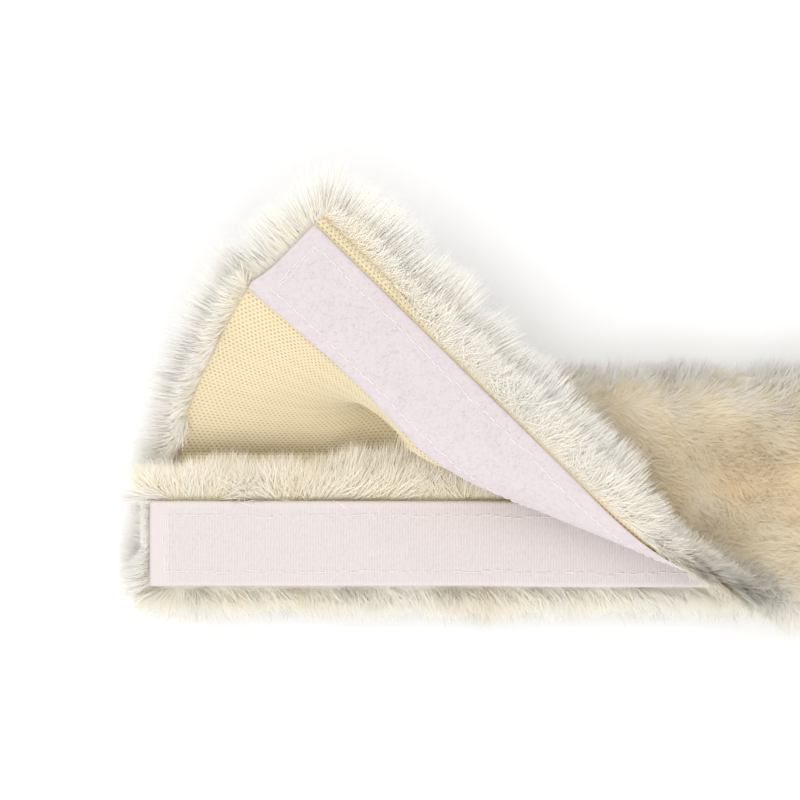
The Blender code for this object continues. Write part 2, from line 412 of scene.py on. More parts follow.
def panel_coordinates(tree):
    """The panel's own x and v, in metres, from the piece's UV."""
    return [times(tree, part, PANEL_UV) for part in uv_parts(tree)]


def panel_uv(x, v):
    return np.stack([(x - X_START) / PANEL_UV, (v - FREE_EDGE) / PANEL_UV], axis=-1)


def new_material(name, roughness, sheen=0.0):
    material = bpy.data.materials.new(name)
    material.use_nodes = True
    shader = material.node_tree.nodes["Principled BSDF"]
    shader.inputs["Roughness"].default_value = roughness
    shader.inputs["Specular IOR Level"].default_value = 0.3
    shader.inputs["Sheen Weight"].default_value = sheen
    return material, material.node_tree, shader


def noise_node(tree, scale, detail=2.0, vector=None):
    made = tree.nodes.new("ShaderNodeTexNoise")
    made.inputs["Scale"].default_value = scale
    made.inputs["Detail"].default_value = detail
    if vector is None:
        vector = tree.nodes.new("ShaderNodeTexCoord").outputs["Object"]
    tree.links.new(vector, made.inputs["Vector"])
    return made.outputs["Fac"]


def mix_colours(tree, share, first, second, blend="MIX"):
    made = tree.nodes.new("ShaderNodeMix")
    made.data_type = "RGBA"
    made.blend_type = blend
    for name, value in (("Factor", share), ("A", first), ("B", second)):
        if isinstance(value, tuple):
            made.inputs[name].default_value = (*value, 1)
        elif isinstance(value, (int, float)):
            made.inputs[name].default_value = value
        else:
            tree.links.new(value, made.inputs[name])
    return made.outputs["Result"]


def bump(tree, shader, height, strength, distance):
    made = tree.nodes.new("ShaderNodeBump")
    made.inputs["Strength"].default_value = strength
    made.inputs["Distance"].default_value = distance
    tree.links.new(height, made.inputs["Height"])
    tree.links.new(made.outputs["Normal"], shader.inputs["Normal"])


def fleece_material():
    """Pile: UV u is a strand's own tint and v runs from its root to its tip."""
    material, tree, shader = new_material("fleece_pile", 0.8, 0.2)
    shader.inputs["Specular IOR Level"].default_value = 0.2
    strand, along = uv_parts(tree)
    tones = ramp(tree, along, [(0.0, FLEECE_ROOT), (0.3, FLEECE_MID), (0.75, FLEECE_TIP)])
    tint = ramp(tree, strand, FLEECE_TINTS_AND_SHADE)
    colour = mix_colours(tree, 1.0, tones, tint, "MULTIPLY")
    tree.links.new(colour, shader.inputs["Base Color"])
    thin = tree.nodes.new("ShaderNodeBsdfTranslucent")
    tree.links.new(colour, thin.inputs["Color"])
    both = tree.nodes.new("ShaderNodeMixShader")
    both.inputs["Fac"].default_value = FLEECE_THIN
    tree.links.new(shader.outputs["BSDF"], both.inputs[1])
    tree.links.new(thin.outputs["BSDF"], both.inputs[2])
    tree.links.new(both.outputs["Shader"], tree.nodes["Material Output"].inputs["Surface"])
    return material


def knit_material():
    """Pale yellow knit: staggered rows of small slit holes between raised stitches."""
    material, tree, shader = new_material("knit_backing", 0.85, 0.2)
    x, v = panel_coordinates(tree)
    row = math_node(tree, "DIVIDE", v, KNIT_PITCH_V)
    odd = math_node(tree, "FLOORED_MODULO", math_node(tree, "FLOOR", row), 2.0)
    column = math_node(tree, "DIVIDE", x, KNIT_PITCH_X)
    along = math_node(tree, "FRACT", math_node(tree, "ADD", column, times(tree, odd, 0.5)))
    across = math_node(tree, "FRACT", row)
    off_x = times(tree, minus(tree, along, 0.5), KNIT_PITCH_X / KNIT_HOLE_X)
    off_v = times(tree, minus(tree, across, 0.5), KNIT_PITCH_V / KNIT_HOLE_V)
    square = math_node(tree, "ADD", times(tree, off_x, off_x), times(tree, off_v, off_v))
    hole = tree.nodes.new("ShaderNodeMapRange")
    hole.interpolation_type = "SMOOTHSTEP"
    for name, value in (("From Min", 1.7), ("From Max", 0.35), ("To Min", 0.0), ("To Max", 1.0)):
        hole.inputs[name].default_value = value
    tree.links.new(square, hole.inputs["Value"])
    base = mix_colours(tree, noise_node(tree, 60.0), (0.73, 0.62, 0.40), (0.78, 0.67, 0.45))
    # The holes are coloured dark brown: painted shade in them, on top of the relief's bump.
    colour = mix_colours(tree, hole.outputs["Result"], base, (0.48, 0.32, 0.13))
    tree.links.new(colour, shader.inputs["Base Color"])
    height = minus(tree, noise_node(tree, 2500.0), hole.outputs["Result"])
    bump(tree, shader, height, 0.5, 0.0003)
    return material


def hook_material():
    """White hook tape: fine cross ribs."""
    material, tree, shader = new_material("hook_tape_weave", 0.6)
    x, _ = panel_coordinates(tree)
    rib = math_node(tree, "SINE", times(tree, x, 2 * math.pi / HOOK_PITCH))
    fine = noise_node(tree, 900.0)
    colour = mix_colours(tree, fine, (0.665, 0.605, 0.595), (0.705, 0.645, 0.635))
    colour = mix_colours(tree, times(tree, rib, 0.10), colour, (0.56, 0.50, 0.49))
    tree.links.new(colour, shader.inputs["Base Color"])
    bump(tree, shader, math_node(tree, "ADD", rib, fine), 0.35, 0.0002)
    return material


def loop_material():
    """Brushed loop tape: a soft felted face."""
    material, tree, shader = new_material("loop_tape_nap", 0.9, 0.35)
    cloud, fine = noise_node(tree, 130.0, 4.0), noise_node(tree, 1900.0, 3.0)
    colour = mix_colours(tree, cloud, (0.64, 0.57, 0.58), (0.68, 0.615, 0.625))
    colour = mix_colours(tree, times(tree, fine, 0.25), colour, (0.56, 0.49, 0.51))
    tree.links.new(colour, shader.inputs["Base Color"])
    bump(tree, shader, fine, 0.5, 0.0003)
    return material


def thread_material(name, colour):
    """Twisted sewing thread."""
    material, tree, shader = new_material(name, 0.5, 0.3)
    fine = noise_node(tree, 3000.0)
    mixed = mix_colours(tree, fine, tuple(0.85 * c for c in colour), colour)
    tree.links.new(mixed, shader.inputs["Base Color"])
    bump(tree, shader, fine, 0.4, 0.0001)
    return material


FLEECE = fleece_material()
KNIT_LOOK = knit_material()
HOOK_LOOK = hook_material()
LOOP_LOOK = loop_material()
THREAD_LOOK = thread_material("tape_thread", (0.90, 0.87, 0.87))
EDGE_LOOK = thread_material("edge_thread", (0.55, 0.55, 0.56))


# ---- pieces on the panel
def by_height(name, points, quads, uv, look):
    """Splits a surface at the roll's middle height into a low piece, below it, and a high piece, above it.
    """
    made = []
    middle = points[quads, 2].mean(axis=1)
    for part, chosen in (("low", middle <= ROLL_Z), ("high", middle > ROLL_Z)):
        if not chosen.any():
            continue
        used, index = np.unique(quads[chosen], return_inverse=True)
        piece = mesh_object(f"{name}_{part}", points[used], index.reshape(-1, 4), uv=uv[used])
        piece.data.materials.append(look)
        made.append(piece)
    return made


def hang_low(piece):
    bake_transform(piece)


def hang_high(piece):
    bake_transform(piece)


def knit_relief(x, v):
    """Depth of the knit's face, towards the pile: deepest in its holes."""
    row = (v - FREE_EDGE) / KNIT_PITCH_V
    along = ((x - X_START) / KNIT_PITCH_X + 0.5 * (np.floor(row) % 2)) % 1 - 0.5
    across = row % 1 - 0.5
    square = (along * KNIT_PITCH_X / KNIT_HOLE_X) ** 2 + (across * KNIT_PITCH_V / KNIT_HOLE_V) ** 2
    return 0.30 * MM * smooth(1.9, 0.2, square)


def knit_panel():
    fine = 0.5 * MM
    near = np.arange(X_START, X_START + 130 * MM, fine)
    far = np.arange(near[-1] + 2.5 * MM, X_END, 2.5 * MM)
    xs = np.concatenate([near, far, [X_END]])
    near = np.arange(FREE_EDGE, V_BACK + 45 * MM, fine)
    far = np.arange(near[-1] + 1.5 * MM, V_END, 1.5 * MM)
    vs = np.concatenate([near, far, [V_END]])
    x, v = np.meshgrid(xs, vs, indexing="ij")
    x, v = x.ravel(), v.ravel()
    place, _ = surface(x, v, knit_relief(x, v))
    quads = grid_quads(len(xs), len(vs))
    low, high = by_height("panel_knit", place, quads, panel_uv(x, v), KNIT_LOOK)
    hang_low(low)
    hang_high(high)
    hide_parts("back_knit", "top_fold_knit", "bottom_fold_knit", "lap_knit", "front_knit", "roll_knit")
    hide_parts("flap_knit")
    on_high = place[quads, 2].mean(axis=1) > ROLL_Z
    return (low, x, v, quads, ~on_high), (high, x, v, quads, on_high)


LOW_SHEET, HIGH_SHEET = knit_panel()


SELVEDGE = 0.8 * MM  # width over which a tape's edge is rounded


def band(x0, x1, v0, v1, step, thick, place):
    """A tape with rounded selvedges: (points, quads, uv). place(x, v, lift) gives its points."""
    xs = np.linspace(x0, x1, int(abs(x1 - x0) / step) + 1)
    vs = np.linspace(v0, v1, int(abs(v1 - v0) / step) + 1)
    inward = np.minimum(vs - v0, v1 - vs)
    edge = 1 - np.clip(inward / SELVEDGE, 0, 1)
    half = thick / 2 * np.sqrt(np.clip(1 - edge**2, 0.04, 1))
    around_v = np.concatenate([vs, vs[::-1]])
    around_lift = np.concatenate([half, -half[::-1]])
    x = np.repeat(xs, len(around_v))
    v = np.tile(around_v, len(xs))
    points = place(x, v, np.tile(around_lift, len(xs)))
    quads = grid_quads(len(xs), len(around_v), wrap=True)
    ring = np.arange(len(vs) - 1)
    cap = np.stack([ring, ring + 1, len(around_v) - 2 - ring, len(around_v) - 1 - ring], axis=-1)
    last = (len(xs) - 1) * len(around_v)
    return points, np.concatenate([quads, cap[:, ::-1], cap + last]), panel_uv(x, v)


HOOK_Z = (HOOK[0].z + HOOK[1].z) / 2
LOOP_LIFT = (LOOP[0].z + LOOP[1].z) / 2 - Z_FRONT
TAPE_THICK = HOOK[1].z - HOOK[0].z
TAPE_WAVE = Noise(31, 24 * MM)


def on_hook(x, y, lift):
    """A place on the hook tape, which lies nearly flat on the lap."""
    side = y + 0.5 * MM * TAPE_WAVE(x * 0.4, x * 0)
    return np.stack([x, side, HOOK_Z + lift + 0.25 * MM * TAPE_WAVE(x, y)], axis=-1)


def on_loop(x, v, lift):
    """A place on the loop tape, which faces inwards on the front and the flap. Lift is off the knit."""
    place, _ = surface(x, v, LOOP_LIFT - lift)
    return place


def tubes(paths, radius, sides=5):
    """Threads along paths, an array of (thread, point, xyz), with closed round ends: (points, quads)."""
    count, steps = paths.shape[:2]
    heading = unit(np.gradient(paths, axis=1))
    other = unit(np.cross(heading, np.array([0.31, 0.17, 0.93])))
    third = np.cross(heading, other)
    turn = np.arange(sides) * 2 * math.pi / sides
    profile = np.sqrt(np.clip(1 - (2 * np.linspace(0, 1, steps) - 1) ** 6, 0.02, 1)) * radius
    ring = other[:, :, None] * np.cos(turn)[:, None] + third[:, :, None] * np.sin(turn)[:, None]
    points = paths[:, :, None] + ring * profile[None, :, None, None]
    quads = grid_quads(steps, sides, wrap=True)
    quads = (quads[None] + (np.arange(count) * steps * sides)[:, None, None]).reshape(-1, 4)
    return points.reshape(-1, 3), quads


def simple_piece(name, points, quads, look, slot, body, uv=None):
    piece = mesh_object(name, points, quads, uv=uv)
    piece.data.materials.append(look)
    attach(piece, body)
    return piece


STITCH = 4.6 * MM  # pitch of a row, and how much of it shows as thread
SHOWN = 0.82
INSET = 6.5 * MM  # from the tape's edge to its outer row
ROW_GAP = 1.6 * MM


def stitch_rows(place, x0, x1, v0, v1, seed):
    """The stitches of a tape, as threads that dip at their ends: two long rows, and two across each end."""
    rng = np.random.default_rng(seed)
    rows = []
    for v in (v0 + INSET, v1 - INSET):
        starts = np.arange(x0 + INSET, x1 - INSET - STITCH, STITCH)
        rows.append((starts, starts + STITCH * SHOWN, np.full_like(starts, v), np.full_like(starts, v)))
    starts = np.arange(v0 + INSET, v1 - INSET - STITCH * 0.5, STITCH)
    for x in (x0 + INSET, x0 + INSET + ROW_GAP, x1 - INSET, x1 - INSET - ROW_GAP):
        rows.append((np.full_like(starts, x), np.full_like(starts, x), starts, starts + STITCH * SHOWN))
    xa, xb, va, vb = (np.concatenate(c) for c in zip(*rows))
    wander = 0.35 * MM * rng.normal(size=(2, len(xa)))
    t = np.linspace(0, 1, 7)
    x = xa[:, None] + (xb - xa)[:, None] * t + wander[0][:, None]
    v = va[:, None] + (vb - va)[:, None] * t + wander[1][:, None]
    lift = TAPE_THICK / 2 + 0.28 * MM * np.sin(math.pi * t)[None] - 0.06 * MM
    lifts = np.tile(lift, (len(xa), 1))
    return place(x.ravel(), v.ravel(), lifts.ravel()).reshape(len(xa), len(t), 3)


def split_threads(name, paths, radius, look):
    """Threads on the peeled closure, each filed whole by its own height."""
    made = []
    height = paths[:, :, 2].mean(axis=1)
    for part, chosen in (("low", height <= ROLL_Z), ("high", height > ROLL_Z)):
        points, quads = tubes(paths[chosen], radius)
        piece = mesh_object(f"{name}_{part}", points, quads)
        piece.data.materials.append(look)
        made.append(piece)
    hang_low(made[0])
    hang_high(made[1])
    return made


def hooks():
    """The field of small hooks on the hook tape, clear of its selvedges and its sealed end."""
    rng = np.random.default_rng(41)
    xs = np.arange(X_START + 9 * MM, X_END - 9 * MM, HOOK_PITCH)
    ys = np.arange(HOOK[0].y + 2.6 * MM, HOOK[1].y - 2.4 * MM, 1.5 * MM)
    x, y = (c.ravel() for c in np.meshgrid(xs, ys, indexing="ij"))
    x = x + 0.12 * MM * rng.normal(size=len(x))
    y = y + 0.15 * MM * rng.normal(size=len(y))
    t = np.linspace(0, 1, 4)
    lean = rng.choice([-1, 1], len(x))[:, None] * 0.45 * MM * np.sin(t * math.pi * 0.9)[None]
    rise = TAPE_THICK / 2 - 0.1 * MM + 0.75 * MM * np.sin(t * 2.3)[None] + 0 * x[:, None]
    place = on_hook((x[:, None] + 0 * lean).ravel(), (y[:, None] + lean).ravel(), rise.ravel())
    return tubes(place.reshape(len(x), len(t), 3), 0.11 * MM, sides=3)


def nap():
    """Loose fibres on the face of the loop tape, where it is peeled open."""
    rng = np.random.default_rng(42)
    count = int(6000 * (1))
    x = rng.uniform(X_START + 1 * MM, X_START + 255 * MM, count)
    v = rng.uniform(LOOP[0].y + 0.6 * MM, LOOP[1].y - 0.6 * MM, count)
    turn = rng.uniform(0, 2 * math.pi, count)
    size = rng.uniform(0.5, 1.3, count) * MM
    t = np.linspace(-1, 1, 4)
    bow = rng.normal(size=count)[:, None] * 0.35 * MM * (1 - t**2)[None]
    px = x[:, None] + size[:, None] * t * np.cos(turn)[:, None] - bow * np.sin(turn)[:, None]
    pv = v[:, None] + size[:, None] * t * np.sin(turn)[:, None] + bow * np.cos(turn)[:, None]
    pv = np.clip(pv, LOOP[0].y + 0.3 * MM, LOOP[1].y - 0.3 * MM)
    lift = TAPE_THICK / 2 + 0.05 * MM * (1 - t**2)[None] + 0.02 * MM + 0 * px
    return on_loop(px.ravel(), pv.ravel(), lift.ravel()).reshape(count, len(t), 3)


def overlock(edge, inward, x0, x1, seed):
    """The overlocked edge of the panel: a thread that loops over the edge and back through the knit."""
    rng = np.random.default_rng(seed)
    pitch = 2.0 * MM
    starts = np.arange(x0, x1 - pitch, pitch)
    t = np.linspace(0, 2 * math.pi, 9)
    x = starts[:, None] + pitch * t / (2 * math.pi) + 0.15 * MM * rng.normal(size=(len(starts), 1))
    v = edge + inward * (0.7 * MM - 1.1 * MM * np.cos(t))[None] + 0 * x
    lift = -(KNIT / 2 + 0.35 * MM) * np.sin(t)[None] + 0 * x - 0.2 * MM
    place, _ = surface(x.ravel(), v.ravel(), lift.ravel())
    return place.reshape(len(starts), len(t), 3)


THREAD_R, OVERLOCK_R, FIBRE_R = 0.24 * MM, 0.13 * MM, 0.02 * MM
HOOK_WIRE = plain_material("hook_wire", (0.71, 0.63, 0.61), 0.4)


def add_tapes():
    step = 1.0 * MM
    points, quads, uv = band(X_START, X_END, HOOK[0].y, HOOK[1].y, step, TAPE_THICK, on_hook)
    tape = simple_piece("hook_tape_cloth", points, quads, HOOK_LOOK, "hook", "sleeve", uv)
    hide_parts("hook_tape")
    simple_piece("hook_tape_hooks", *hooks(), HOOK_WIRE, "hook", "sleeve")
    rows = stitch_rows(on_hook, X_START, X_END, HOOK[0].y, HOOK[1].y, 51)
    thread = simple_piece("hook_tape_stitches", *tubes(rows, THREAD_R), THREAD_LOOK, "thread", "sleeve")
    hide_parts("hook_stitch_lower", "hook_stitch_upper", "hook_stitch_left", "hook_stitch_right")

    points, quads, uv = band(X_START, X_END, LOOP[0].y, LOOP[1].y, step, TAPE_THICK, on_loop)
    low, high = by_height("loop_tape_cloth", points, quads[:, ::-1], uv, LOOP_LOOK)
    hang_low(low)
    hang_high(high)
    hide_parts("front_loop_tape")
    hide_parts("flap_loop_tape")
    rows = stitch_rows(on_loop, X_START, X_END, LOOP[0].y, LOOP[1].y, 52)
    low, high = split_threads("loop_tape_stitches", rows, THREAD_R, THREAD_LOOK)
    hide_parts("front_loop_stitch_lower", "front_loop_stitch_upper", "front_loop_stitch_end")
    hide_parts("flap_loop_stitch_lower", "flap_loop_stitch_upper", "flap_loop_stitch_end")
    split_threads("loop_tape_fibres", nap(), FIBRE_R, LOOP_LOOK)

    loops = overlock(FREE_EDGE, 1, X_START, X_END, 53)
    low, high = split_threads("free_edge_overlock", loops, OVERLOCK_R, EDGE_LOOK)
    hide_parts("front_edge_stitch")
    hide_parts("flap_edge_stitch")
    points, quads = tubes(overlock(V_END, -1, X_START, X_END, 54), OVERLOCK_R)
    lap = simple_piece("lap_edge_overlock", points, quads, EDGE_LOOK, "edge_thread", "sleeve")
    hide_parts("lap_edge_stitch")


add_tapes()

# ---- pile
TANGENTS = unit(np.gradient(PLACES, axis=0))
WAVE_X, WAVE_V = Noise(11, 17 * MM), Noise(12, 17 * MM)
LOCK_X, LOCK_V = Noise(13, 4.5 * MM), Noise(14, 4.5 * MM)
LENGTHS, TINTS = Noise(15, 9 * MM), Noise(16, 16 * MM)
PARTINGS = Noise(17, 26 * MM)
TABLE_GAP = 0.6 * MM
ROOM = np.array([26, 15.4, 11]) * MM  # how far pile may stand past the CAD box
LOWEST = np.append(np.array(CAD_BOUNDS[0])[:2] - ROOM[:2], TABLE_GAP)
HIGHEST = np.array(CAD_BOUNDS[1]) + ROOM
CLUMP = 3.2 * MM  # pitch of the tufts that the strands' tips gather in
GATHER = 0.2
TUFTS = (97, 89)  # the tufts repeat after so many


def strands(
    x, v, rng, length, lean_x, lean_v, rise=1.0, wild=0.25, tint=0.5,
    width=0.28 * MM, parts=3, curly=0.22, pale=0.0, locks=0.7, waves=1.0,
):
    """Tapered ribbons rooted at (x, v): (points, quads, tris, uv, normals, root heights).

    They leave the panel by rise along its normal and lean_x and lean_v across it. waves and locks sway
    whole patches and tufts, wild and curly each strand, and pale starts them nearer the tip's colour.
    """
    count = len(x)
    root, normal = surface(x, v, 0.4 * MM)
    along = unit(sample(TANGENTS, x, v))
    across = np.cross(normal, along)

    def tangent(a, b):
        return along * np.asarray(a)[..., None] + across * np.asarray(b)[..., None]

    waves, tufts = 0.36 * waves, 0.25 * locks
    lean_a = lean_x + waves * WAVE_X(x, v) + tufts * LOCK_X(x, v) + wild * rng.normal(size=count)
    lean_b = lean_v + waves * WAVE_V(x, v) + tufts * LOCK_V(x, v) + wild * rng.normal(size=count)
    start = unit(normal * np.asarray(rise)[..., None] + tangent(lean_a, lean_b))
    curl_x = 0.6 * locks * LOCK_V(x + 7 * MM, v)
    curl_v = 0.6 * locks * LOCK_X(x, v + 7 * MM)
    curl = tangent(curl_x + 0.6 * lean_a, curl_v + 0.6 * lean_b)
    finish = unit(start + curl + np.array([0, 0, -0.12]) + curly * rng.normal(size=(count, 3)))
    length = length * (1 + 0.14 * LENGTHS(x, v) + 0.08 * rng.normal(size=count))
    cell_x, cell_v = np.floor(x / CLUMP), np.floor(v / CLUMP)
    jitter = np.random.default_rng(5).uniform(0.1, 0.9, (2, *TUFTS))
    key_x, key_v = cell_x.astype(int) % TUFTS[0], cell_v.astype(int) % TUFTS[1]
    to_x = (cell_x + jitter[0, key_x, key_v]) * CLUMP - x
    to_v = (cell_v + jitter[1, key_x, key_v]) * CLUMP - v
    pull = tangent(to_x, to_v) * GATHER
    shades = np.random.default_rng(6).uniform(-0.5, 0.5, TUFTS)[key_x, key_v]

    facing = unit(normal + 0.15 * rng.normal(size=(count, 3)))
    wide = width * rng.uniform(0.7, 1.3, count) * 0.5
    points, levels, normals = [], [], []
    for k in range(parts + 1):
        t = k / parts
        here = root + length[:, None] * (start * (t - t * t / 2) + finish * (t * t / 2)) + pull * t**1.5
        here = np.clip(here, LOWEST, HIGHEST)
        heading = unit(start * (1 - t) + finish * t)
        side = unit(np.cross(heading, facing))
        shade = unit(np.cross(side, heading))
        turned = np.sign((shade * normal).sum(1, keepdims=True) + 1e-9)
        side, shade = side * turned, unit(shade * turned + 2.6 * normal)
        reach = side * (wide * (1 - 0.25 * t))[:, None]
        ends = [here - reach, here + reach] if k < parts else [here]
        points += ends
        levels += [t] * len(ends)
        normals += [shade] * len(ends)
    points, normals = np.stack(points, axis=1), np.stack(normals, axis=1)
    per = points.shape[1]
    base = np.arange(count)[:, None] * per
    first = np.array([0, 1, 3, 2])
    quads = np.stack([base + first + 2 * k for k in range(parts - 1)], axis=1)
    tris = base + np.array([2 * parts - 2, 2 * parts - 1, 2 * parts])
    mix = tint + 0.09 * TINTS(x, v) + 0.12 * shades + 0.05 * rng.normal(size=count)
    mix = np.clip(mix, 0.01, 0.99)
    tones = 0.02 + pale + (0.96 - pale) * np.array(levels)
    uv = np.stack([np.repeat(mix[:, None], per, 1), np.tile(tones, (count, 1))], axis=-1)
    return points, quads, tris, uv, normals, sample(PLACES, x, v)[:, 2]


def by_roots(height):
    """What pile moves with, by the height of its roots: a body, or the low or high half of the roll."""
    top = HIGH_BLEND - 0.2 * MM
    return {
        "sleeve": height < LOW_BLEND,
        "low": (height >= LOW_BLEND) & (height < ROLL_Z),
        "high": (height >= ROLL_Z) & (height < top),
        "flap": height >= top,
    }


PIECES = {}


def grow(group, made):
    """Files the strands of a group by what they move with."""
    points, quads, tris, uv, normals, height = made
    per = points.shape[1]
    for name, chosen in by_roots(height).items():
        index = np.flatnonzero(chosen)
        if not len(index):
            continue
        shift = (np.arange(len(index)) * per)[:, None]
        own_quads = (quads[index] - index[:, None, None] * per + shift[:, :, None]).reshape(-1, 4)
        own_tris = tris[index] - index[:, None] * per + shift
        PIECES.setdefault((group, name), []).append((
            points[index].reshape(-1, 3),
            own_quads,
            own_tris,
            uv[index].reshape(-1, 2),
            normals[index].reshape(-1, 3),
            np.repeat(height[index], per),
        ))


FEW = 1.0
HALF = X_START + 300 * MM  # past it, out of the photograph's view, the pile is coarser


def scatter(rng, per_mm2, x0, x1, v0, v1):
    count = int(FEW * per_mm2 * (x1 - x0) * (v1 - v0) * 1e6)
    return rng.uniform(x0, x1, count), rng.uniform(v0, v1, count)


CREASES = (Y_BOTTOM + 28 * MM, Y_BOTTOM + 48 * MM)
HOOK_TOP_V = V_LAP + HOOK[1].y - Y_BOTTOM
HOOK_LOW_V = V_LAP - BOTTOM_R * math.asin((Y_BOTTOM - HOOK[0].y) / BOTTOM_R)


def sow(group, rng, near, far, v0, v1, look):
    """Pile over a strip of the panel. near and far are strands to the square millimetre in each half of
    the length, and look gives their form from x and v."""
    halves = ((near, X_START, HALF, 3, 0.24 * MM), (far, HALF, X_END, 2, 0.36 * MM))
    for dense, x0, x1, parts, width in halves:
        x, v = scatter(rng, dense, x0, x1, v0, v1)
        grow(group, strands(x, v, rng, parts=parts, width=width, **look(x, v)))


def field_look(x, v):
    """The front's pile: it lies along the sleeve and parts at creases and short lines. Its tint holds
    painted shade, ochre in the creases and partings and grey on the top fold, and is paler near the free
    edge.
    """
    start = smooth(X_START + 250 * MM, X_START + 285 * MM, x)
    # deep lowers the tint towards its ochre end at the creases and partings: painted shade there.
    apart, deep = np.zeros_like(x), np.zeros_like(x)
    for middle in CREASES:
        off = v - middle - 2.5 * MM * WAVE_X(x * 0.35, x * 0 + middle)
        apart += 0.5 * np.sign(off) * np.exp(-np.abs(off) / (3 * MM)) * start
        deep += np.exp(-np.abs(off) / (2 * MM)) * start
    line = PARTINGS(x * 0.7, v)
    apart += 0.4 * np.sign(line) * np.exp(-np.abs(line) / 0.1)
    deep += 0.6 * np.exp(-np.abs(line) / 0.04)
    # Painted shade: this raises the tint to its grey end on the top fold. Near the free edge it raises it
    # only to a paler cream.
    fold_shade_and_pale_edge = 0.6 * smooth(V_TOP - 6 * MM, V_TOP + 10 * MM, v) + 0.35 * smooth(12 * MM, 0, v - FREE_EDGE)
    return {
        "length": 17 * MM, "lean_x": 0.35, "lean_v": -0.15 + apart, "wild": 0.15, "curly": 0.12,
        "locks": 0.35, "waves": 0.7, "tint": 0.3 + fold_shade_and_pale_edge - 0.3 * deep, "pale": 0.2,
    }


def field_pile():
    """The pile over the panel's faces. A fifth of it is left out where the turned flap hides it."""
    rng = np.random.default_rng(101)
    peeled = X_START + 120 * MM
    for group, dense, x0, x1, parts, width in (
        ("field", 3.6, peeled, HALF, 3, 0.2 * MM),
        ("field", 2.4, X_START, peeled, 2, 0.36 * MM),
        ("far", 1.4, HALF, X_END, 2, 0.36 * MM),
    ):
        x, v = scatter(rng, dense, x0, x1, FREE_EDGE, V_BACK)
        height = sample(PLACES, x, v)[:, 2]
        inside = (height > ROLL_Z - 8 * MM) & (v > FREE_EDGE + 22 * MM) & (x > X_START + 14 * MM)
        keep = ~inside | (rng.uniform(size=len(x)) < 0.8)
        x, v = x[keep], v[keep]
        grow(group, strands(x, v, rng, parts=parts, width=width, **field_look(x, v)))

    sow("back", rng, 0.5, 0.5, V_BACK, V_BOTTOM, lambda x, v: {
        "length": 15 * MM, "lean_x": 0.2, "lean_v": 0.0, "tint": 0.5,
    })
    sow("bottom", rng, 5.0, 2.4, V_BOTTOM - 3 * MM, HOOK_LOW_V, lambda x, v: {
        "length": 18 * MM - 4 * MM * smooth(HOOK_LOW_V - 5 * MM, HOOK_LOW_V, v),
        "lean_x": 0.45 - 1.3 * smooth(24 * MM, 2 * MM, x - X_START),
        "lean_v": -0.65 * smooth(V_BOTTOM + 6 * MM, HOOK_LOW_V - 6 * MM, v),
        "wild": 0.2, "waves": 0.35, "pale": 0.45,
        "tint": 0.72 - 0.1 * smooth(HOOK_LOW_V - 8 * MM, HOOK_LOW_V, v),
    })
    # Along the hook tape's lower edge.
    brim = HOOK_LOW_V + 0.4 * MM
    edge = np.sort(scatter(rng, 9.0, X_START, X_END, HOOK_LOW_V - 1.6 * MM, brim)[0])
    fringe("bottom", rng, edge, brim - 2 * MM * rng.uniform(0, 1, len(edge)), {
        "length": 12 * MM, "lean_x": 0.4 - 1.2 * smooth(24 * MM, 2 * MM, edge - X_START),
        "lean_v": -0.4, "rise": 0.9, "wild": 0.16, "waves": 0.25, "tint": 0.62, "pale": 0.6,
    })
    sow("lap", rng, 7.5, 5.0, HOOK_TOP_V + 0.5 * MM, V_END, lambda x, v: {
        "length": 17 * MM * (1 + 0.3 * LENGTHS(x * 0.5, v * 0.3)),
        "lean_x": 0.1 + 0.5 * LOCK_X(x * 0.5, v),
        "lean_v": 1.7 - 1.0 * smooth(HOOK_TOP_V, HOOK_TOP_V + 4 * MM, v),
        "rise": 0.85, "wild": 0.25, "curly": 0.35, "tint": 0.55, "pale": 0.2,
    })


def fringe(group, rng, x, v, look):
    """Pile rooted at the given places; look gives its form, as numbers or arrays over those places."""
    for chosen, parts, width in ((x < HALF, 3, 0.3 * MM), (x >= HALF, 2, 0.4 * MM)):
        own = {key: value[chosen] if np.ndim(value) else value for key, value in look.items()}
        grow(group, strands(x[chosen], v[chosen], rng, parts=parts, width=width, **own))


